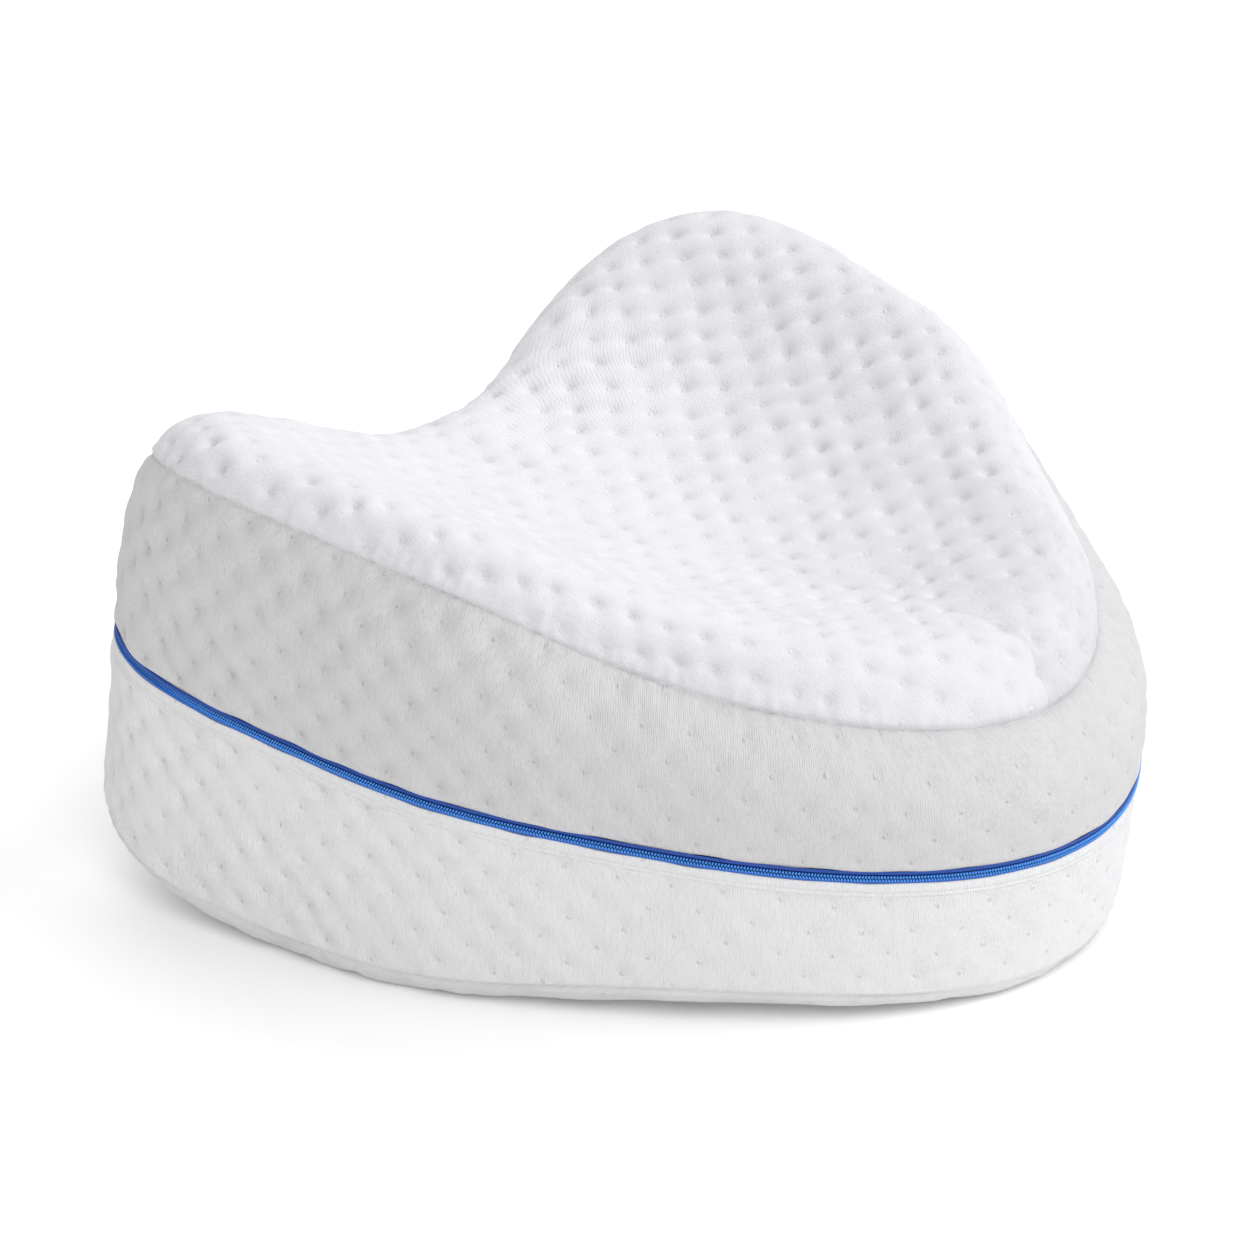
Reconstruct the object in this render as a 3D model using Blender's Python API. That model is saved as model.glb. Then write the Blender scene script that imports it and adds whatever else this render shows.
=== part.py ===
"""Knee pillow: a filled, heart-shaped cushion with a leg trough across its top and its bottom.

Metres, +Z up. The rounded tip points along -Y, the two lobes lie at -X and +X, and the notch
between them faces +Y. The pillow lies on its bottom face, flat where it touches the floor at
z = 0, with its tip lower than its lobes.
"""

import math

import bmesh
import bpy
import numpy as np
from mathutils import Matrix

# Outline and heights by bearing, from the tip (0) round to the notch (180), alike on both sides.
# The columns are the bearing in degrees, the reach to the zip line, then for the upper half and
# for the lower half the edge's height from the zip line and the drop from that edge to the seam.
STATIONS = (
    (0.0, 0.1430, 0.0580, 0.026, 0.0525, 0.016),
    (22.5, 0.1335, 0.0600, 0.026, 0.0515, 0.016),
    (45.0, 0.1200, 0.0645, 0.026, 0.0565, 0.018),
    (67.5, 0.1160, 0.0735, 0.026, 0.0670, 0.020),
    (90.0, 0.1205, 0.0810, 0.026, 0.0760, 0.022),
    (112.5, 0.1350, 0.0825, 0.026, 0.0785, 0.022),
    (135.0, 0.1395, 0.0690, 0.024, 0.0605, 0.020),
    (157.5, 0.1020, 0.0400, 0.016, 0.0340, 0.014),
    (180.0, 0.0860, 0.0350, 0.010, 0.0340, 0.010),
)
BEARING, REACH, UPPER_EDGE, UPPER_DROP, LOWER_EDGE, LOWER_DROP = range(6)

TROUGH_HALF = 0.033        # from the zip plane to the trough's surface at the centre
EDGE_ROLL = 13             # how late each panel turns over towards its seam

# The seams lie inside the zip line, further at the upper tip, where the cloth is drawn in
UPPER_INSET = 0.010
UPPER_INSET_TIP = 0.0065
UPPER_BULGE = 4.4
LOWER_INSET = 0.0005
LOWER_BULGE = 2.4

TILT = math.radians(8.0)   # the tip lies lower than the lobes
SETTLE = 0.0025            # how far the filled form flattens where it rests

# Cloth panels, and the zip that lies in a groove round the middle
PANEL_THICK = 0.002
GAP = 0.0004
ZIP_ROW_HEIGHT = 0.0014
ZIP_ROW_DEPTH = 0.0014
ZIP_PROUD = 0.0002
TAPE_THICK = 0.0008

# Mesh steps
AROUND = 64
PANEL_STEPS = 12
WALL_STEPS = 6
COIL_SIDES = 8

COLLECTION = "knee_pillow"
BEARINGS = np.arange(AROUND) * (2.0 * math.pi / AROUND)


def station_curve(column):
    """Smooth closed curve through one column of STATIONS, mirrored about the trough's line."""
    turns = np.arange(len(STATIONS))
    rows = np.radians([row[BEARING] for row in STATIONS])
    values = [row[column] for row in STATIONS]
    weights = np.linalg.solve(np.cos(np.outer(rows, turns)), values)
    return np.cos(np.outer(BEARINGS, turns)) @ weights


REACHES = station_curve(REACH)
EDGES = {1: station_curve(UPPER_EDGE), -1: station_curve(LOWER_EDGE)}
DROPS = {1: station_curve(UPPER_DROP), -1: station_curve(LOWER_DROP)}


def ring(reach, height):
    """One closed ring of points at a reach and height given for each bearing."""
    return np.stack([reach * np.sin(BEARINGS), -reach * np.cos(BEARINGS), height], axis=-1)


def seam_inset(side):
    if side > 0:
        return UPPER_INSET + UPPER_INSET_TIP * np.cos(BEARINGS)
    return np.full(AROUND, LOWER_INSET)


def wall_ring(side, climb, start=0.0):
    """Side band at climb 0 (height start above the zip line) to climb 1 (the seam)."""
    bulge = UPPER_BULGE if side > 0 else LOWER_BULGE
    height = start + (EDGES[side] - DROPS[side] - start) * climb
    return ring(REACHES - seam_inset(side) * climb**bulge, side * height)


def panel_ring(side, spread):
    """Panel at spread 1 (the seam) to 0 (the centre of the trough)."""
    crown = (EDGES[side] - TROUGH_HALF) * spread**2 - DROPS[side] * spread**EDGE_ROLL
    height = TROUGH_HALF + crown
    return ring((REACHES - seam_inset(side)) * spread, side * height)


def outward(rings, side):
    """Unit normals of a grid of rings that run from the seam to the centre."""
    grid = np.array(rings)
    along = np.roll(grid, -1, axis=1) - np.roll(grid, 1, axis=1)
    inward = np.gradient(grid, axis=0)
    normal = np.cross(along, inward) * side
    return normal / np.linalg.norm(normal, axis=2, keepdims=True)


def panel_layer(side, depth, first_spread=1.0):
    """Rings of a panel's surface pushed in by depth, from the seam to near the centre."""
    angles = np.linspace(math.pi / 2.0, 0.0, PANEL_STEPS + 1)[:-1]
    spreads = [first_spread] + list(np.sin(angles[1:]))
    rings = [panel_ring(side, spread) for spread in spreads]
    pushed = np.array(rings) - depth * outward(rings, side)
    return list(pushed), np.array((0.0, 0.0, side * (TROUGH_HALF - depth)))


def posed(points, place, floor):
    """Tilt points about X, move them to their place, and flatten what would pass the floor."""
    turn = np.array(Matrix.Rotation(TILT, 3, "X"))
    moved = np.asarray(points) @ turn.T + place
    moved[..., 2] = np.maximum(moved[..., 2], floor)
    return moved


def resting_place():
    """Move that leaves the form SETTLE deep in the floor, with its box centred over the origin."""
    walls = [wall_ring(side, climb) for side in (1, -1) for climb in (0.0, 0.5, 1.0)]
    panels = [panel_layer(side, 0.0)[0] for side in (1, -1)]
    form = posed(np.concatenate([walls] + panels), np.zeros(3), -1.0)
    low = form.min(axis=(0, 1))
    high = form.max(axis=(0, 1))
    return np.array((0.0, -(low[1] + high[1]) / 2.0, -low[2] - SETTLE))


def add_object(name, material, rings, poles):
    """Loft rings into one closed body: with poles it ends in two points, else it is a hoop."""
    mesh = bmesh.new()
    rows = [[mesh.verts.new(point) for point in row] for row in rings]
    spans = list(zip(rows, rows[1:]))
    if poles is None:
        spans.append((rows[-1], rows[0]))
    for near, far in spans:
        for i in range(AROUND):
            j = (i + 1) % AROUND
            mesh.faces.new((near[i], far[i], far[j], near[j]))
    if poles is not None:
        first, last = (mesh.verts.new(point) for point in poles)
        for i in range(AROUND):
            j = (i + 1) % AROUND
            mesh.faces.new((first, rows[0][i], rows[0][j]))
            mesh.faces.new((last, rows[-1][j], rows[-1][i]))
    bmesh.ops.recalc_face_normals(mesh, faces=mesh.faces)
    data = bpy.data.meshes.new(name)
    mesh.to_mesh(data)
    mesh.free()
    data.shade_smooth()
    data.set_sharp_from_angle(angle=math.radians(40.0))
    data.materials.append(material)
    obj = bpy.data.objects.new(name, data)
    bpy.data.collections[COLLECTION].objects.link(obj)
    return obj


def principled(name, color, roughness):
    material = bpy.data.materials.new(name)
    material.use_nodes = True
    shader = material.node_tree.nodes["Principled BSDF"]
    shader.inputs["Base Color"].default_value = (*color, 1.0)
    shader.inputs["Roughness"].default_value = roughness
    shader.inputs["Metallic"].default_value = 0.0
    return material


def plan_normals():
    """Level unit normals of the zip line."""
    line = ring(REACHES, np.zeros(AROUND))
    along = np.roll(line, -1, axis=0) - np.roll(line, 1, axis=0)
    normal = np.stack([along[:, 1], -along[:, 0], np.zeros(AROUND)], axis=-1)
    return normal / np.linalg.norm(normal, axis=1, keepdims=True)


def zip_ring(depth, height):
    """Zip line pushed in by depth and raised by height."""
    return ring(REACHES, np.full(AROUND, height)) - depth * plan_normals()


def build_body(place):
    """Filled body: both side bands with the zip groove, and a recess under each panel."""
    recess = PANEL_THICK + GAP
    groove = GAP / 2.0 + ZIP_ROW_HEIGHT + GAP
    floor_depth = ZIP_ROW_DEPTH - ZIP_PROUD + TAPE_THICK + 2.0 * GAP
    climbs = np.linspace(1.0, 0.0, WALL_STEPS + 1)
    upper, upper_pole = panel_layer(1, recess)
    lower, lower_pole = panel_layer(-1, recess)
    upper_wall = [wall_ring(1, climb, groove) for climb in climbs]
    lower_wall = [wall_ring(-1, climb, groove) for climb in reversed(climbs)]
    channel = [zip_ring(floor_depth, groove), zip_ring(floor_depth, -groove)]
    rings = upper[::-1] + upper_wall + channel + lower_wall + lower
    rings = posed(rings, place, recess)
    poles = posed([upper_pole, lower_pole], place, recess)
    cloth = principled("side_band_cloth", (0.80, 0.80, 0.81), 0.85)
    add_object("filled_body", cloth, rings, poles)


def build_panel(name, side, place):
    """Quilted panel inside a seam, one cloth thick, following the trough."""
    rim = 1.0 - GAP / REACHES.min()
    outer, outer_pole = panel_layer(side, 0.0, rim)
    inner, inner_pole = panel_layer(side, PANEL_THICK, rim)
    rings = list(posed(outer[::-1], place, 0.0)) + list(posed(inner, place, PANEL_THICK))
    poles = [posed(outer_pole, place, 0.0), posed(inner_pole, place, PANEL_THICK)]
    cloth = principled(name + "_cloth", (0.84, 0.84, 0.86), 0.85)
    add_object(name, cloth, rings, poles)


def build_coil(name, side, place):
    """One row of the zip's teeth, a slim hoop just proud of the side band."""
    middle_depth = ZIP_ROW_DEPTH / 2.0 - ZIP_PROUD
    middle_height = side * (GAP + ZIP_ROW_HEIGHT) / 2.0
    hoop = []
    for i in range(COIL_SIDES):
        angle = 2.0 * math.pi * (i + 0.5) / COIL_SIDES
        depth = middle_depth + ZIP_ROW_DEPTH / 2.0 * math.cos(angle)
        height = middle_height + ZIP_ROW_HEIGHT / 2.0 * math.sin(angle)
        hoop.append(zip_ring(depth, height))
    add_object(name, principled(name, (0.05, 0.20, 0.62), 0.45), posed(hoop, place, 0.0), None)


def build_tape(place):
    """Flat woven tape behind both rows of teeth."""
    front = ZIP_ROW_DEPTH - ZIP_PROUD + GAP
    back = front + TAPE_THICK
    half = GAP / 2.0 + ZIP_ROW_HEIGHT
    hoop = [zip_ring(front, half), zip_ring(back, half), zip_ring(back, -half), zip_ring(front, -half)]
    add_object("zip_tape", principled("zip_tape", (0.03, 0.10, 0.40), 0.8), posed(hoop, place, 0.0), None)


for old in list(bpy.data.objects):
    bpy.data.objects.remove(old, do_unlink=True)
bpy.context.scene.collection.children.link(bpy.data.collections.new(COLLECTION))

at_rest = resting_place()
build_body(at_rest)
build_panel("top_panel", 1, at_rest)
build_panel("bottom_panel", -1, at_rest)
build_coil("zip_coil_upper", 1, at_rest)
build_coil("zip_coil_lower", -1, at_rest)
build_tape(at_rest)
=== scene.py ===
import math

import bmesh
import bpy
import numpy as np
from mathutils import Matrix, Vector


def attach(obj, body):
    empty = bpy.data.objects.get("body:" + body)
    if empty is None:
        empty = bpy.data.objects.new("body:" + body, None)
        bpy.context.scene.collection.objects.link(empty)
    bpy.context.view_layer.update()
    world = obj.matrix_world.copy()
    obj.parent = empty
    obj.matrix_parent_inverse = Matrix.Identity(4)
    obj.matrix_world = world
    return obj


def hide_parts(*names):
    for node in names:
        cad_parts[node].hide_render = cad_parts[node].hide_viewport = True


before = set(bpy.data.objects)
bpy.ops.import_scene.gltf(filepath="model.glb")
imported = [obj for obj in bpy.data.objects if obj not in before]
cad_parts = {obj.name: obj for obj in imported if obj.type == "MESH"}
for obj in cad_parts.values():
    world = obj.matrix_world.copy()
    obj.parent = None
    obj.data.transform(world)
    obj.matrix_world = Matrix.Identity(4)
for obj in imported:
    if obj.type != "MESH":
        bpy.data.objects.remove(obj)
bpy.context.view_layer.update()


# The camera stands in front of the pillow and to its left, looking down a little through a
# long lens, as a studio camera on a tripod does.
CAMERA_SIDE = math.radians(-50.68)
CAMERA_RISE = math.radians(23.77)
CAMERA_AWAY = 1.6215
CAMERA_LENS = 175.7
camera_right = Vector((math.cos(CAMERA_SIDE), math.sin(CAMERA_SIDE), 0.0))
camera_back = Vector((
    math.sin(CAMERA_SIDE) * math.cos(CAMERA_RISE),
    -math.cos(CAMERA_SIDE) * math.cos(CAMERA_RISE),
    math.sin(CAMERA_RISE),
))
camera_up = camera_back.cross(camera_right)
camera_aim = Vector((0.0, 0.0188, 0.0595)) - 0.0067 * camera_right - 0.0002 * camera_up
camera_data = bpy.data.cameras.new("camera")
camera_data.lens = CAMERA_LENS
camera_data.sensor_width = 36.0
camera_data.clip_start = 0.05
camera = bpy.data.objects.new("camera", camera_data)
bpy.context.scene.collection.objects.link(camera)
camera.location = camera_aim + CAMERA_AWAY * camera_back
camera.rotation_mode = "QUATERNION"
camera.rotation_quaternion = (-camera_back).to_track_quat("-Z", "Y")
bpy.context.scene.camera = camera


# A white paper sweep lies under the pillow. Three wide soft lamps light it, from in front,
# from the right and from behind, and a little light comes from all round.
FLOOR_SIZE = 8.0
FLOOR_GLOW = 0.09
SKY_STRENGTH = 0.33
LAMP_SPREAD = math.radians(50.0)
overhead = Vector((0.0, 0.0, 1.0))
LAMPS = (
    ("front_lamp", 1.42, (1.0, 1.0, 1.0), 0.6 * overhead + 0.8 * camera_back),
    ("right_lamp", 1.58, (0.97, 0.97, 1.0), 0.6 * overhead + 0.8 * camera_right),
    ("rear_lamp", 1.05, (0.98, 0.98, 1.0), 0.8 * overhead - 0.6 * camera_back),
)


class Strand:
    """One value in a material's nodes, so that sums of values read as sums."""

    def __init__(self, tree, socket=None):
        self.tree = tree
        self.socket = socket

    def node(self, kind, settings=None, values=None, output=0):
        """Any node: its settings are set first, then its sockets take numbers or strands."""
        made = self.tree.nodes.new(kind)
        for name, value in (settings or {}).items():
            setattr(made, name, value)
        for key, value in (values or {}).items():
            if isinstance(value, Strand):
                self.tree.links.new(value.socket, made.inputs[key])
            else:
                made.inputs[key].default_value = value
        return Strand(self.tree, made.outputs[output])

    def math(self, operation, *values):
        return self.node("ShaderNodeMath", {"operation": operation}, dict(enumerate(values)))

    def __add__(self, other):
        return self.math("ADD", self, other)

    def __sub__(self, other):
        return self.math("SUBTRACT", self, other)

    def __rsub__(self, other):
        return self.math("SUBTRACT", other, self)

    def __mul__(self, other):
        return self.math("MULTIPLY", self, other)

    def __truediv__(self, other):
        return self.math("DIVIDE", self, other)

    __radd__ = __add__
    __rmul__ = __mul__


def new_finish(name):
    """A material with its shader, and a strand to start its nodes from."""
    finish = bpy.data.materials.new(name)
    finish.use_nodes = True
    shader = finish.node_tree.nodes["Principled BSDF"]
    return finish, shader, Strand(finish.node_tree)


def feed(shader, socket, strand):
    strand.tree.links.new(strand.socket, shader.inputs[socket])


paper, paper_shader, paper_node = new_finish("white_paper")
paper_spot = paper_node.node("ShaderNodeTexCoord", output=3)
paper_grain = paper_node.node("ShaderNodeTexNoise", values={"Vector": paper_spot, "Scale": 900.0, "Detail": 2.0})
feed(paper_shader, "Roughness", 0.85 + 0.1 * paper_grain)
paper_shader.inputs["Base Color"].default_value = (0.93, 0.93, 0.93, 1.0)
paper_shader.inputs["Specular IOR Level"].default_value = 0.0
paper_shader.inputs["Emission Color"].default_value = (1.0, 1.0, 1.0, 1.0)
paper_shader.inputs["Emission Strength"].default_value = FLOOR_GLOW

sweep = bmesh.new()
bmesh.ops.create_grid(sweep, x_segments=4, y_segments=4, size=FLOOR_SIZE / 2.0)
sweep_data = bpy.data.meshes.new("floor")
sweep.to_mesh(sweep_data)
sweep.free()
sweep_data.materials.append(paper)
floor = bpy.data.objects.new("floor", sweep_data)
bpy.context.scene.collection.objects.link(floor)

sky = bpy.data.worlds.new("studio")
sky.use_nodes = True
sky.node_tree.nodes["Background"].inputs["Color"].default_value = (0.99, 0.99, 1.0, 1.0)
sky.node_tree.nodes["Background"].inputs["Strength"].default_value = SKY_STRENGTH
bpy.context.scene.world = sky
bpy.context.scene.view_settings.view_transform = "Standard"

for lamp_name, strength, tint, direction in LAMPS:
    lamp_data = bpy.data.lights.new(lamp_name, "SUN")
    lamp_data.energy = strength
    lamp_data.color = tint
    lamp_data.angle = LAMP_SPREAD
    lamp = bpy.data.objects.new(lamp_name, lamp_data)
    bpy.context.scene.collection.objects.link(lamp)
    lamp.rotation_mode = "QUATERNION"
    lamp.rotation_quaternion = direction.to_track_quat("Z", "Y")


# The top panel is quilted knit cloth over the saddle of the filling. It is cut to a heart and
# sewn in at the upper seam, where its edge rolls over and puffs up.

# Bearing from the tip in degrees, reach to the zip, then for the upper and for the lower half
# the edge's height from the zip and the drop from that edge to the seam.
STATIONS = (
    (0.0, 0.1430, 0.0580, 0.026, 0.0525, 0.016),
    (22.5, 0.1335, 0.0600, 0.026, 0.0515, 0.016),
    (45.0, 0.1200, 0.0645, 0.026, 0.0565, 0.018),
    (67.5, 0.1160, 0.0735, 0.026, 0.0670, 0.020),
    (90.0, 0.1205, 0.0810, 0.026, 0.0760, 0.022),
    (112.5, 0.1350, 0.0825, 0.026, 0.0785, 0.022),
    (135.0, 0.1395, 0.0690, 0.024, 0.0605, 0.020),
    (157.5, 0.1020, 0.0400, 0.016, 0.0340, 0.014),
    (180.0, 0.0860, 0.0350, 0.010, 0.0340, 0.010),
)
BEARING, REACH, UPPER_EDGE, UPPER_DROP, LOWER_EDGE, LOWER_DROP = range(6)
TROUGH_HALF = 0.033
EDGE_ROLL = 13
UPPER_INSET = 0.010
UPPER_INSET_TIP = 0.0065
UPPER_BULGE = 4.4
LOWER_INSET = 0.0005
LOWER_BULGE = 2.4
TILT = math.radians(8.0)
SETTLE = 0.0025

PANEL_CELLS = 380
LINING_CELLS = 60
PANEL_DEPTH = 0.004
RIB_PITCH = 0.63
PANEL_PITCH = np.array((0.0125, 0.0161))
PANEL_START = np.array((-0.0015, 0.0031))
WELL_REACH = 0.0023
CONE_REACH = 0.0018
CONE_ROUND = 0.0005
SEAM_DIP = 0.0009
GATHER_DEPTH = 0.00013
GATHER_LENGTH = 0.0042
GATHER_REACH = 0.0045
NUDGE = 1e-4


def heart(column, bearings):
    """Smooth closed curve through one column of STATIONS, alike on both sides."""
    turns = np.arange(len(STATIONS))
    rows = np.radians([row[BEARING] for row in STATIONS])
    weights = np.linalg.solve(np.cos(np.outer(rows, turns)), [row[column] for row in STATIONS])
    return np.cos(np.multiply.outer(bearings, turns)) @ weights


def ring(bearings, reach, height):
    return np.stack([reach * np.sin(bearings), -reach * np.cos(bearings), height], axis=-1)


def seam_inset(side, bearings):
    if side > 0:
        return UPPER_INSET + UPPER_INSET_TIP * np.cos(bearings)
    return np.full(np.shape(bearings), LOWER_INSET)


def half_shape(side, bearings):
    """Seam reach, edge height and drop of one half at each bearing."""
    edge, drop = (UPPER_EDGE, UPPER_DROP) if side > 0 else (LOWER_EDGE, LOWER_DROP)
    reach = heart(REACH, bearings) - seam_inset(side, bearings)
    return reach, heart(edge, bearings), heart(drop, bearings)


def panel_height(shape, spread):
    reach, edge, drop = shape
    return TROUGH_HALF + (edge - TROUGH_HALF) * spread**2 - drop * spread**EDGE_ROLL


def panel_surface(side, across, along):
    """Panel over its unit disc: x across the trough, y along it, the seam at radius 1."""
    bearings = np.arctan2(across, -along)
    spread = np.hypot(across, along)
    shape = half_shape(side, bearings)
    return ring(bearings, shape[0] * spread, side * panel_height(shape, spread))


def wall_surface(side, bearings, climb):
    """Side band from climb 0, level with the zip, to climb 1, the seam."""
    bulge = UPPER_BULGE if side > 0 else LOWER_BULGE
    shape = half_shape(side, bearings)
    reach = shape[0] + seam_inset(side, bearings) * (1.0 - climb**bulge)
    return ring(bearings, reach, side * (shape[1] - shape[2]) * climb)


def turned(points):
    return points @ np.array(Matrix.Rotation(TILT, 3, "X")).T


def resting_place():
    """Move that rests the tilted form on the floor, with its box centred over the origin."""
    bearings, levels = np.meshgrid(np.linspace(-math.pi, math.pi, 257), np.linspace(0.0, 1.0, 97))
    forms = [wall_surface(side, bearings, levels) for side in (1, -1)]
    for side in (1, -1):
        forms.append(panel_surface(side, levels * np.sin(bearings), -levels * np.cos(bearings)))
    form = turned(np.array(forms)).reshape(-1, 3)
    low, high = form.min(axis=0), form.max(axis=0)
    return np.array((0.0, -(low[1] + high[1]) / 2.0, -low[2] - SETTLE))


PLACE = resting_place()


def at_rest(points, floor=0.0):
    """Tilt and move points to where the pillow lies, and flatten what would pass the floor."""
    moved = turned(points) + PLACE
    moved[..., 2] = np.maximum(moved[..., 2], floor)
    return moved


def unit(vectors):
    return vectors / np.maximum(np.linalg.norm(vectors, axis=-1, keepdims=True), 1e-12)


def slow_waves(points, length, seed):
    """Smooth random field about zero over the points, with waves of about one length."""
    draw = np.random.default_rng(seed)
    total = np.zeros(len(points))
    for _ in range(14):
        heading = unit(draw.normal(size=points.shape[1]))
        turn = 2.0 * math.pi / (length * draw.uniform(0.7, 1.5))
        total += np.sin(points @ heading * turn + draw.uniform(0.0, 2.0 * math.pi))
    return total / math.sqrt(7.0)


def wells(lay, pitch, sharp):
    """How far each point of cloth is drawn in by the quilting knots: 1 at a knot."""
    drawn = np.zeros(len(lay))
    for half in (0.0, 0.5):
        cell = lay / pitch - half
        nearest = np.round(cell)
        for i in (-1.0, 0.0, 1.0):
            for j in (-1.0, 0.0, 1.0):
                away = np.linalg.norm((cell - nearest - (i, j)) * pitch, axis=1)
                drawn += (1.0 - sharp) * np.exp(-0.5 * (away / WELL_REACH) ** 2)
                drawn += sharp * np.exp((CONE_ROUND - np.hypot(away, CONE_ROUND)) / CONE_REACH)
    return drawn


def gathers(bearings, from_seam, seed):
    """Small puckers that a seam draws into the cloth on both of its sides."""
    clear_of_join = np.clip((math.pi - np.abs(bearings)) / 0.05, 0.0, 1.0)
    puckers = slow_waves(bearings[:, None] * 0.12, GATHER_LENGTH, seed)
    return GATHER_DEPTH * clear_of_join * np.exp(-from_seam / GATHER_REACH) * puckers


def furrows(lay, pitch, width):
    """Slanting furrows that join the knots: 1 along a furrow."""
    turn = (lay[:, 0] / pitch[0] + lay[:, 1] / pitch[1]) % 1.0
    spacing = pitch[0] * pitch[1] / math.hypot(*pitch)
    return np.exp(-((np.minimum(turn, 1.0 - turn) * spacing / width) ** 2))


def surface_normals(surface, first, second, outward):
    """Unit normals of a surface of two values, by small steps."""
    one = surface(first + NUDGE, second) - surface(first - NUDGE, second)
    two = surface(first, second + NUDGE) - surface(first, second - NUDGE)
    return unit(np.cross(one, two)) * outward


def seam_normals(side, bearings):
    """Direction that the stitches pull against: midway between the panel and the side band."""
    across, along = 0.999 * np.sin(bearings), -0.999 * np.cos(bearings)

    def panel(x, y):
        return panel_surface(side, x, y)

    def wall(angle, level):
        return wall_surface(side, angle, level)

    over = surface_normals(panel, across, along, side)
    beside = surface_normals(wall, bearings, np.full(len(bearings), 0.999), side)
    return unit(over + beside)


def cloth_mesh(columns, rows):
    """A flat grid of cloth, with where each vertex lies across it and along it, 0 to 1."""
    mesh = bmesh.new()
    bmesh.ops.create_grid(mesh, x_segments=columns, y_segments=rows, size=1.0)
    flat = np.array([vertex.co[:2] for vertex in mesh.verts])
    return mesh, (flat[:, 0] + 1.0) / 2.0, (flat[:, 1] + 1.0) / 2.0


def lay_cloth(mesh, places, lay):
    """Move the grid's vertices to their places, and keep each one's place on the flat cloth in mm."""
    for vertex, place in zip(mesh.verts, places):
        vertex.co = place
    flat_cloth = mesh.loops.layers.uv.new("cloth")
    in_mm = lay * 1000.0
    mesh.verts.index_update()
    for face in mesh.faces:
        for corner in face.loops:
            corner[flat_cloth].uv = in_mm[corner.vert.index]


def add_piece(name, mesh, finish):
    """Turn a closed mesh into a piece that rides on the pillow."""
    bmesh.ops.recalc_face_normals(mesh, faces=mesh.faces)
    for face in mesh.faces:
        face.smooth = True
    data = bpy.data.meshes.new(name)
    mesh.to_mesh(data)
    mesh.free()
    data.materials.append(finish)
    piece = bpy.data.objects.new(name, data)
    bpy.context.scene.collection.objects.link(piece)
    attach(piece, "root")
    return piece


def disc_points(side, across, along):
    """Square grid places turned into places on the panel's disc, evenly spaced over its roll."""
    x, y = 2.0 * across - 1.0, 2.0 * along - 1.0
    disc = np.stack([x * np.sqrt(1.0 - y * y / 2.0), y * np.sqrt(1.0 - x * x / 2.0)], axis=-1)
    radius = np.maximum(np.hypot(disc[:, 0], disc[:, 1]), 1e-9)
    spreads = np.linspace(0.0, 1.0, 400)
    reach, edge, drop = (values.mean() for values in half_shape(side, np.linspace(0.0, math.pi, 90)))
    profile = np.stack([reach * spreads, panel_height((reach, edge, drop), spreads)], axis=-1)
    run = np.append(0.0, np.linalg.norm(np.diff(profile, axis=0), axis=1).cumsum())
    return disc * (np.interp(radius, run / run[-1], spreads) / radius)[:, None]


def panel_lay(side, disc):
    """Where each point of the panel lies on its flat cloth: its run from the middle."""
    bearings = np.arctan2(disc[:, 0], -disc[:, 1])
    spread = np.hypot(disc[:, 0], disc[:, 1])
    shape = half_shape(side, bearings)
    run = np.zeros(len(disc))
    steps = 24
    last = np.stack([np.zeros(len(disc)), np.full(len(disc), TROUGH_HALF)], axis=-1)
    for step in range(1, steps + 1):
        part = spread * step / steps
        here = np.stack([shape[0] * part, panel_height(shape, part)], axis=-1)
        run += np.linalg.norm(here - last, axis=1)
        last = here
    return run[:, None] * np.stack([np.sin(bearings), -np.cos(bearings)], axis=-1)


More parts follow.
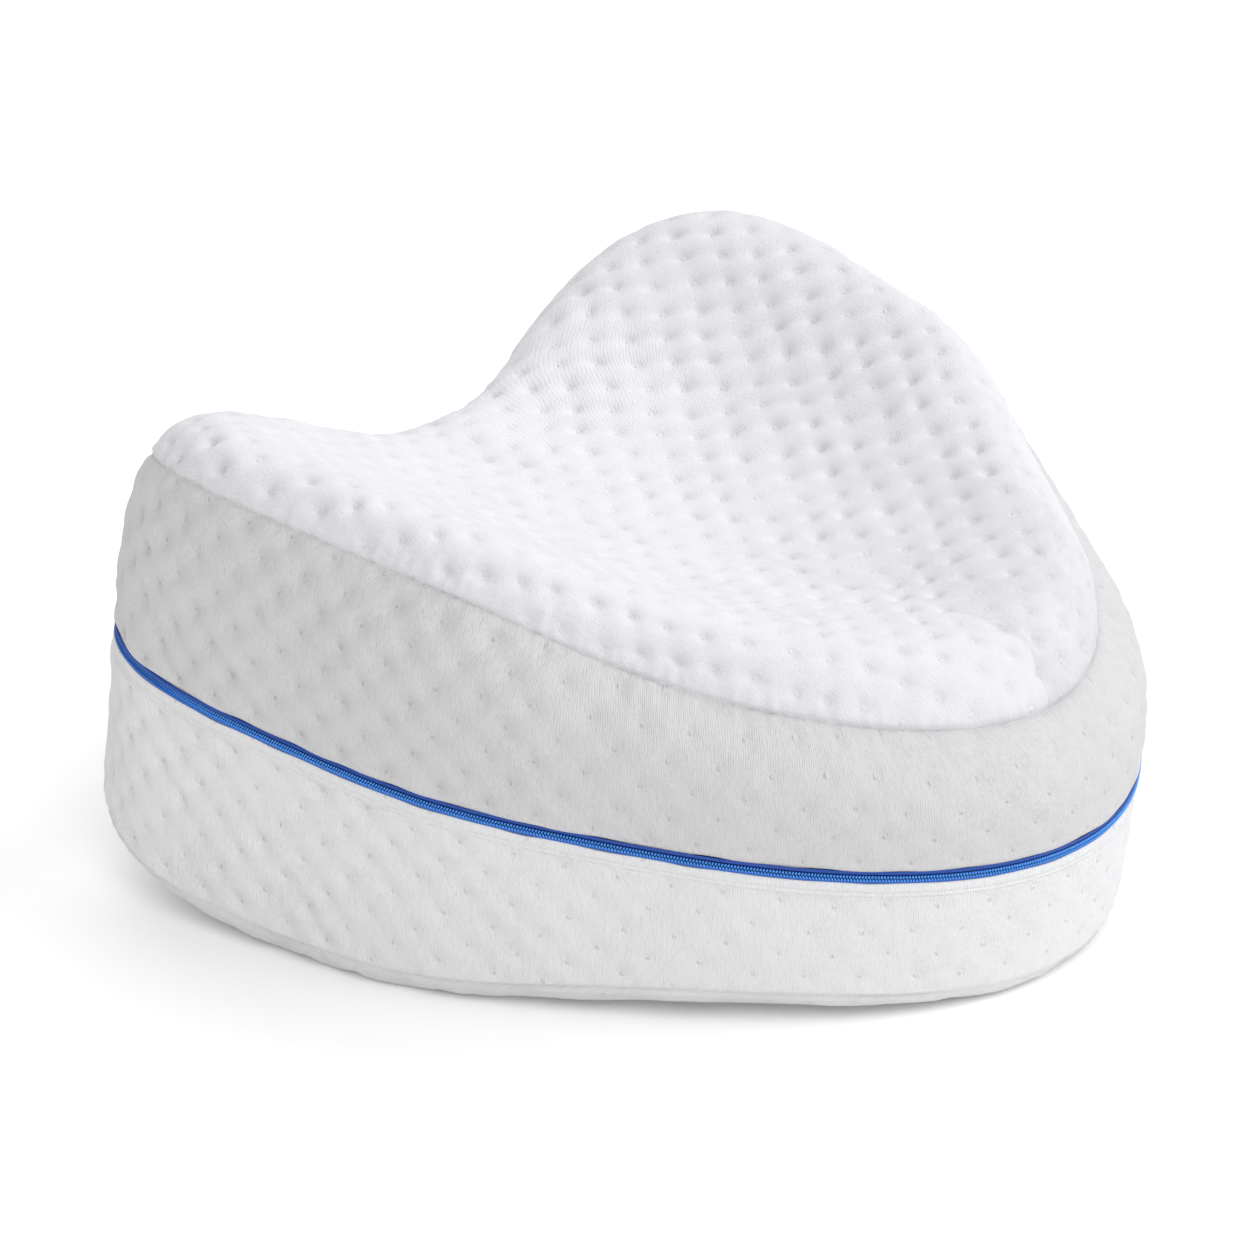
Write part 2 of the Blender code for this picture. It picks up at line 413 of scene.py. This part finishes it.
def quilted_panel(name, side, cells, depth_scale, finish, seed):
    """A panel of quilted cloth with its lining, closed round the seam."""
    mesh, across, along = cloth_mesh(cells, cells)
    disc = disc_points(side, across, along)

    def surface(x, y):
        return panel_surface(side, x, y)

    base = surface(disc[:, 0], disc[:, 1])
    inner = disc * np.minimum(1.0, 0.999 / np.maximum(np.hypot(disc[:, 0], disc[:, 1]), 1e-9))[:, None]
    normals = surface_normals(surface, inner[:, 0], inner[:, 1], side)
    lay = panel_lay(side, disc)
    lay = lay + 0.0006 * np.stack([slow_waves(lay, 0.03, seed), slow_waves(lay, 0.03, seed + 1)], axis=-1)
    lay = lay - PANEL_START

    rim = disc / np.maximum(np.hypot(disc[:, 0], disc[:, 1]), 1e-9)[:, None]
    from_seam = np.linalg.norm(base - surface(rim[:, 0], rim[:, 1]), axis=1)
    slope = 1.0 - np.abs(normals[:, 2])
    draw = depth_scale * (0.60 + 1.2 * np.clip(slope, 0.0, 0.5)) * (1.0 + 0.25 * slow_waves(lay, 0.028, seed + 2))
    draw = draw * np.clip(from_seam / 0.006, 0.0, 1.0)
    taut = np.maximum(np.clip(lay[:, 0] / 0.05, 0.0, 1.0), np.clip((-lay[:, 1] - 0.05) / 0.03, 0.0, 1.0))
    draw = draw * (1.0 - 0.45 * np.clip(2.0 - from_seam / 0.012, 0.0, 1.0) * taut)
    relief = 0.4 * draw - draw * wells(lay, PANEL_PITCH, 0.75)
    relief -= 0.10 * draw * furrows(lay, PANEL_PITCH, 0.0017) * (1.0 + 0.5 * slow_waves(lay, 0.02, seed + 5))
    relief += 0.00022 * np.exp(-((from_seam - 0.0035) / 0.0026) ** 2)
    relief += 0.00018 * slow_waves(base, 0.022, seed + 3)
    relief += gathers(np.arctan2(disc[:, 0], -disc[:, 1]), from_seam, 90 + side)
    relief *= np.clip(from_seam / 0.001, 0.0, 1.0)
    pull = SEAM_DIP * np.exp(-((from_seam / 0.0008) ** 2))
    stitched = seam_normals(side, np.arctan2(disc[:, 0], -disc[:, 1]))
    lay_cloth(mesh, at_rest(base + normals * relief[:, None] - stitched * pull[:, None]), lay)

    lining, across, along = cloth_mesh(LINING_CELLS, LINING_CELLS)
    disc = disc_points(side, across, along) * 0.975
    base = surface(disc[:, 0], disc[:, 1])
    normals = surface_normals(surface, disc[:, 0], disc[:, 1], side)
    lay_cloth(lining, at_rest(base - normals * PANEL_DEPTH, 0.003), panel_lay(side, disc))
    lining_data = bpy.data.meshes.new("lining")
    lining.to_mesh(lining_data)
    lining.free()
    mesh.from_mesh(lining_data)
    bpy.data.meshes.remove(lining_data)
    rims = [edge for edge in mesh.edges if edge.is_boundary]
    for edge in rims:
        edge.smooth = False
    bmesh.ops.bridge_loops(mesh, edges=rims)
    return add_piece(name, mesh, finish)


def knit_cloth(name, pitch, rib_height, knot_height, lean, well_shade, white, shade):
    """Knit polyester cloth: fine ribs, soft fibres, a small knot in each quilted well, and painted shade round each
    knot.
    """
    finish, shader, node = new_finish(name)
    cloth = node.node("ShaderNodeUVMap", {"uv_map": "cloth"})
    u = cloth.node("ShaderNodeSeparateXYZ", values={0: cloth}, output=0)
    v = cloth.node("ShaderNodeSeparateXYZ", values={0: cloth}, output=1)
    drift = node.node("ShaderNodeTexNoise", {"noise_dimensions": "2D"},
                      {"Vector": cloth, "Scale": 0.22, "Detail": 2.0})
    slope = node.node("ShaderNodeMapRange", values={0: u, 1: 0.0, 2: 60.0, 3: 0.0, 4: lean})
    across = u - v * slope + drift * 0.5
    stretched = node.node("ShaderNodeCombineXYZ", values={0: across, 1: v * 0.4, 2: 0.0})
    fibres = node.node("ShaderNodeTexNoise", {"noise_dimensions": "2D"},
                       {"Vector": stretched, "Scale": 2.2, "Detail": 2.0, "Roughness": 0.6})
    ribs = node.math("SINE", across * (2.0 * math.pi / RIB_PITCH) + drift) * fibres
    knots = None
    rings = None
    hollow_shade = None
    for half in (0.0, 0.5):
        x = (node.math("FRACT", u / pitch[0] + (0.5 - half)) - 0.5) * pitch[0]
        y = (node.math("FRACT", v / pitch[1] + (0.5 - half)) - 0.5) * pitch[1]
        away = x * x + y * y
        knot = node.math("EXPONENT", away * (-1.0 / 0.30))
        knot_ring = node.math("EXPONENT", away * (-1.0 / 1.5))
        hollow = node.math("EXPONENT", away * (-1.0 / 6.0))
        knots = knot if knots is None else knots + knot
        rings = knot_ring if rings is None else rings + knot_ring
        hollow_shade = hollow if hollow_shade is None else hollow_shade + hollow
    height = fibres * 0.2 + ribs * rib_height + knots * knot_height - rings * 0.22
    bump = node.node("ShaderNodeBump", values={"Strength": 1.0, "Distance": 0.001, "Height": height})
    feed(shader, "Normal", bump)
    # Base colour: darker in a ring round each knot and over each wide hollow, painted shade in the quilted wells;
    # the knot's centre stays at the full white and the fibres vary the tone at random.
    tone = node.node("ShaderNodeMix", {"data_type": "RGBA"},
                     {0: rings * 0.12 + hollow_shade * well_shade - knots * 1.3 + fibres * 0.3, 6: (*white, 1.0), 7: (*shade, 1.0)}, output=2)
    feed(shader, "Base Color", tone)
    feed(shader, "Roughness", 0.72 + fibres * 0.2)
    shader.inputs["Sheen Weight"].default_value = 0.18
    shader.inputs["Sheen Roughness"].default_value = 0.45
    shader.inputs["Specular IOR Level"].default_value = 0.25
    return finish


panel_pitch_mm = (PANEL_PITCH * 1000.0).tolist()
# The panel's copy of the cloth is lighter and bluer than the bands' copies: painted light falling from above.
panel_cloth_lit = knit_cloth("quilted_panel_cloth", panel_pitch_mm, 0.05, 0.45, 0.575, 0.12, (0.740, 0.738, 0.764), (0.64, 0.64, 0.64))
top_panel = quilted_panel("quilted_top_panel", 1, PANEL_CELLS, 0.0022, panel_cloth_lit, 11)
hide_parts("top_panel")


# The bottom panel is the same cloth over the lower trough. The pillow's weight presses it flat
# on the floor at the tip and under both lobes.
bottom_cloth = knit_cloth("quilted_bottom_cloth", panel_pitch_mm, 0.05, 0.32, 0.575, 0.1, (0.72, 0.72, 0.72), (0.64, 0.64, 0.64))
bottom_panel = quilted_panel("quilted_bottom_panel", -1, 240, 0.00085, bottom_cloth, 31)
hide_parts("bottom_panel")


# The upper side band is one strip of quilted knit cloth, from the zip up to the upper seam. Its
# ends are joined at the notch, and its quilting is drawn into slanting creases round the lobes.
BAND_COLUMNS = 900
BAND_PITCH = np.array((0.01355, 0.0142))
BAND_SLANT = 0.145
BAND_START = np.array((0.0007, 0.0045))
ZIP_HALF = 0.0017
HEM_RISE = 0.0075
HEM_ROWS = 26
SEAM_ROLL = 0.0030
SEAM_ROWS = 6
TURN_IN = 0.0035
JOIN_DIP = 0.0005
bearing_steps = np.linspace(-math.pi, math.pi, 4001)
zip_track = ring(bearing_steps, heart(REACH, bearing_steps), np.zeros(len(bearing_steps)))
track_run = np.append(0.0, np.linalg.norm(np.diff(zip_track, axis=0), axis=1).cumsum())
TRACK_LENGTH = track_run[-1]


def bearing_at(run):
    """Bearing of a point by its run along the zip from the tip, left negative."""
    return np.interp(run + TRACK_LENGTH / 2.0, track_run, bearing_steps)


def quilted_band(name, side, rows, first_row, depth_scale, finish, seed):
    """A closed hoop of band cloth: zip edge, face, seam, and the turned-in edges behind."""
    behind = np.zeros(4)
    hem_of = np.concatenate([np.zeros(3), np.linspace(0.0, 1.0, HEM_ROWS), np.ones(rows + SEAM_ROWS), behind + 1.0])
    rise_of = np.concatenate([np.zeros(3 + HEM_ROWS), np.linspace(0.0, 1.0, rows + 1)[1:], np.ones(SEAM_ROWS)])
    rise_of = np.concatenate([rise_of, [1.0, 1.0, 0.75, 0.25]])
    roll_of = np.concatenate([np.zeros(3 + HEM_ROWS + rows), np.linspace(0.0, 1.0, SEAM_ROWS + 1)[1:]])
    roll_of = np.concatenate([roll_of, [1.0, 1.0, 1.0, 0.0]])
    depth_of = np.concatenate([[TURN_IN, 0.0014, 0.0004], np.zeros(HEM_ROWS + rows + SEAM_ROWS)])
    depth_of = np.concatenate([depth_of, [0.0012, 0.0035, 0.005, 0.005]])
    mesh, across, along = cloth_mesh(BAND_COLUMNS, len(depth_of))
    row = np.rint(along * len(depth_of)).astype(int) % len(depth_of)
    last_face = 3 + HEM_ROWS + rows + SEAM_ROWS
    run = (across - 0.5) * TRACK_LENGTH
    bearings = bearing_at(run)
    face = (row >= 3) & (row < last_face)

    seam_rise = half_shape(side, bearings)[1] - half_shape(side, bearings)[2]
    from_join = TRACK_LENGTH / 2.0 - np.abs(run)
    at_face = np.clip(from_join / 0.005, 0.0, 1.0)
    wobble = 0.00018 * at_face * slow_waves(bearings[:, None] * 0.12, 0.02, seed + 9)
    rise = ZIP_HALF + wobble + (HEM_RISE - ZIP_HALF - wobble) * hem_of[row]
    rise += (seam_rise - SEAM_ROLL - HEM_RISE) * rise_of[row] + SEAM_ROLL * roll_of[row]
    climb = rise / seam_rise

    def surface(angle, level):
        return wall_surface(side, angle, level)

    base = surface(bearings, climb)
    normals = surface_normals(surface, bearings, np.clip(climb, 0.001, 0.999), side)
    up = np.abs(base[:, 2])
    lay = np.stack([run + BAND_SLANT * up * side, up], axis=-1) - BAND_START * (1.0, side) - (0.0, first_row)
    lay = lay + 0.0005 * np.stack([slow_waves(lay, 0.03, seed), slow_waves(lay, 0.03, seed + 1)], axis=-1)

    from_seam = np.linalg.norm(base - surface(bearings, np.ones(len(bearings))), axis=1)
    from_zip = up - ZIP_HALF - wobble
    left = np.clip((-np.degrees(bearings) - 45.0) / 40.0, 0.0, 1.0)
    right = np.clip((np.degrees(bearings) + 5.0) / 25.0, 0.0, 1.0)
    pull = 0.30 + 0.70 * np.maximum(left, 0.5 * right)
    draw = depth_scale * pull * (1.0 + 0.2 * slow_waves(lay, 0.03, seed + 2))
    crease = furrows(lay * (1.0, side), BAND_PITCH, 0.0027) * (1.0 + 0.5 * slow_waves(lay, 0.02, seed + 4))
    crease += 0.7 * furrows(lay * (1.0, -side), BAND_PITCH, 0.0024) * (1.0 + 0.5 * slow_waves(lay, 0.02, seed + 6))
    relief = 0.35 * draw - draw * wells(lay, BAND_PITCH, 0.35)
    relief -= 0.14 * draw * np.maximum(left, 0.4 * right) * crease
    relief *= np.clip(from_seam / 0.004, 0.0, 1.0) * np.clip(from_zip / 0.0022, 0.0, 1.0) * at_face
    relief -= JOIN_DIP * np.exp(-((from_join / 0.0012) ** 2))
    relief += 0.00015 * slow_waves(base, 0.03, seed + 3)
    relief += gathers(bearings, from_seam, 90 + side)
    relief *= np.clip(from_seam / 0.001, 0.0, 1.0)
    if side < 0:
        hem = np.clip((0.0064 - up) / 0.0006, 0.0, 1.0)
        relief = relief * (1.0 - hem) + hem * 0.00025
        for stitch_line in (0.0043, 0.0056):
            relief -= 0.0003 * np.exp(-((up - stitch_line) / 0.00027) ** 2)
    relief -= 0.0004 * np.exp(-from_zip / 0.0006)
    relief = np.where(face, relief, 0.0) - np.where(row < last_face, depth_of[row], 0.0)
    pull = SEAM_DIP * np.exp(-((from_seam / 0.0008) ** 2)) + np.where(row >= last_face, depth_of[row], 0.0)
    stitched = seam_normals(side, bearings)
    lay_cloth(mesh, at_rest(base + normals * relief[:, None] - stitched * pull[:, None]), lay)
    for edge in mesh.edges:
        first, second = (row[vertex.index] for vertex in edge.verts)
        edge.smooth = first != second or first not in (3, last_face - 1)
    bmesh.ops.remove_doubles(mesh, verts=mesh.verts, dist=1e-6)
    return add_piece(name, mesh, finish)


band_pitch_mm = (BAND_PITCH * 1000.0).tolist()
# The band's copy of the cloth is darker than the panel's: painted shade on the upright side.
band_cloth_shaded = knit_cloth("quilted_band_cloth", band_pitch_mm, 0.09, 0.62, 0.0, 0.07, (0.65, 0.64, 0.64), (0.57, 0.57, 0.57))
upper_band = quilted_band("quilted_upper_band", 1, 46, 0.0, 0.0018, band_cloth_shaded, 51)
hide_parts("filled_body")


# The lower side band runs from the zip down to the lower seam. Just under the zip it has a
# smooth hem, held by two rows of fine stitches.
# Its cloth is a lighter copy of the upper band's: painted light bounced up from the floor.
lower_cloth_floor_lit = knit_cloth("quilted_lower_cloth", band_pitch_mm, 0.09, 0.62, 0.0, 0.06, (0.785, 0.785, 0.785), (0.70, 0.70, 0.70))
lower_band = quilted_band("quilted_lower_band", -1, 40, 0.0057, 0.0015, lower_cloth_floor_lit, 71)
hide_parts("filled_body")


# The zip runs all round. Each side is a row of small moulded coil teeth beside a corded tape
# edge, and a flat woven tape closes the gap behind them.
TOOTH_PITCH = 0.0008
TAPE_COLUMNS = 800


def track_places(run, depth, height):
    """Points by their run along the zip, their depth behind the cloth, and their height."""
    bearings = bearing_at(run)
    reach = heart(REACH, bearings)
    base = ring(bearings, reach, height)
    ahead, behind = (ring(b, heart(REACH, b), height) for b in (bearings + NUDGE, bearings - NUDGE))
    heading = unit(ahead - behind)
    outward = np.stack([heading[:, 1], -heading[:, 0], np.zeros(len(run))], axis=-1)
    return at_rest(base - outward * depth[:, None])


def zip_cord(mesh, height, radius, sink):
    """A round cord along one edge of the tape."""
    first = len(mesh.verts)
    bmesh.ops.create_grid(mesh, x_segments=TAPE_COLUMNS, y_segments=8, size=1.0)
    mesh.verts.ensure_lookup_table()
    cord = mesh.verts[first:]
    flat = np.array([vertex.co[:2] for vertex in cord])
    run = flat[:, 0] * TRACK_LENGTH / 2.0
    angle = flat[:, 1] * math.pi
    places = track_places(run, sink - radius * np.cos(angle), height + radius * np.sin(angle))
    for vertex, place in zip(cord, places):
        vertex.co = place


def zip_teeth(mesh, side, sink):
    """A row of slanting teeth, each a small rounded bead, bent round the track.

    Round the left lobe the cloth pulls over the teeth, which lie deeper there.
    """
    first = len(mesh.verts)
    count = int(TRACK_LENGTH / TOOTH_PITCH)
    lean = Matrix.Rotation(math.radians(28.0 * side), 4, "Y")
    bead = lean @ Matrix.Diagonal((0.00028, 0.00042, 0.00050, 1.0))
    for i in range(count):
        run = (i + 0.5 + 0.25 * side) * TRACK_LENGTH / count - TRACK_LENGTH / 2.0
        from_join = TRACK_LENGTH / 2.0 + run
        buried = sink + 0.0009 * min(max((-run - 0.225) / 0.04, 0.0), 1.0) * min(from_join / 0.03, 1.0)
        at = Matrix.Translation((run, buried, 0.00044 * side - 0.0002))
        bmesh.ops.create_icosphere(mesh, subdivisions=1, radius=1.0, matrix=at @ bead)
    mesh.verts.ensure_lookup_table()
    beads = mesh.verts[first:]
    straight = np.array([vertex.co for vertex in beads])
    wrapped = (straight[:, 0] + TRACK_LENGTH / 2.0) % TRACK_LENGTH - TRACK_LENGTH / 2.0
    for vertex, place in zip(beads, track_places(wrapped, straight[:, 1], straight[:, 2])):
        vertex.co = place


def coil_plastic(name, dark, light, roughness):
    """Dyed coil and tape blue that varies a little from thread to thread; the darker copies for the upper cord and
    the tape are painted shade.
    """
    finish, shader, node = new_finish(name)
    spot = node.node("ShaderNodeTexCoord", output=3)
    thread = node.node("ShaderNodeTexNoise", values={"Vector": spot, "Scale": 1400.0, "Detail": 2.0})
    colour = node.node("ShaderNodeMix", {"data_type": "RGBA"},
                       {0: thread, 6: (*dark, 1.0), 7: (*light, 1.0)}, output=2)
    feed(shader, "Base Color", colour)
    feed(shader, "Roughness", roughness + thread * 0.2)
    bump = node.node("ShaderNodeBump", values={"Strength": 0.4, "Distance": 0.0002, "Height": thread})
    feed(shader, "Normal", bump)
    return finish


coil_blue = coil_plastic("zip_coil_blue", (0.02, 0.20, 0.70), (0.13, 0.44, 0.97), 0.3)
# The upper cord's blue is darker than the lower cord's: painted shade under the overhanging edge of the upper band.
cord_blues = {
    1: coil_plastic("zip_cord_blue_painted_shade", (0.002, 0.03, 0.22), (0.01, 0.09, 0.44), 0.45),
    -1: coil_plastic("zip_light_cord_blue", (0.005, 0.08, 0.39), (0.04, 0.19, 0.64), 0.45),
}
# The tape is a real part, coloured much darker than the coil: painted shade in the gap behind the teeth.
tape_blue_shaded = coil_plastic("zip_tape_blue", (0.001, 0.02, 0.16), (0.004, 0.05, 0.30), 0.75)

for side, side_name in ((1, "upper"), (-1, "lower")):
    teeth = bmesh.new()
    zip_teeth(teeth, side, 0.0)
    teeth_piece = add_piece("zip_teeth_" + side_name, teeth, coil_blue)
    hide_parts("zip_coil_" + side_name)
    cord = bmesh.new()
    zip_cord(cord, side * 0.00124, 0.00046, 0.0004)
    bmesh.ops.remove_doubles(cord, verts=cord.verts, dist=1e-6)
    cord_piece = add_piece("zip_edge_" + side_name, cord, cord_blues[side])
    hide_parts("zip_coil_" + side_name)

tape = bmesh.new()
bmesh.ops.create_grid(tape, x_segments=TAPE_COLUMNS, y_segments=4, size=1.0)
flat = np.array([vertex.co[:2] for vertex in tape.verts])
corner = np.rint((flat[:, 1] + 1.0) * 2.0).astype(int) % 4
tape_depth = np.array((0.0007, 0.0015, 0.0015, 0.0007))[corner]
tape_height = np.array((-0.0021, -0.0021, 0.0021, 0.0021))[corner]
for vertex, place in zip(tape.verts, track_places(flat[:, 0] * TRACK_LENGTH / 2.0, tape_depth, tape_height)):
    vertex.co = place
bmesh.ops.remove_doubles(tape, verts=tape.verts, dist=1e-6)
tape_piece = add_piece("zip_tape_woven", tape, tape_blue_shaded)
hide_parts("zip_tape")
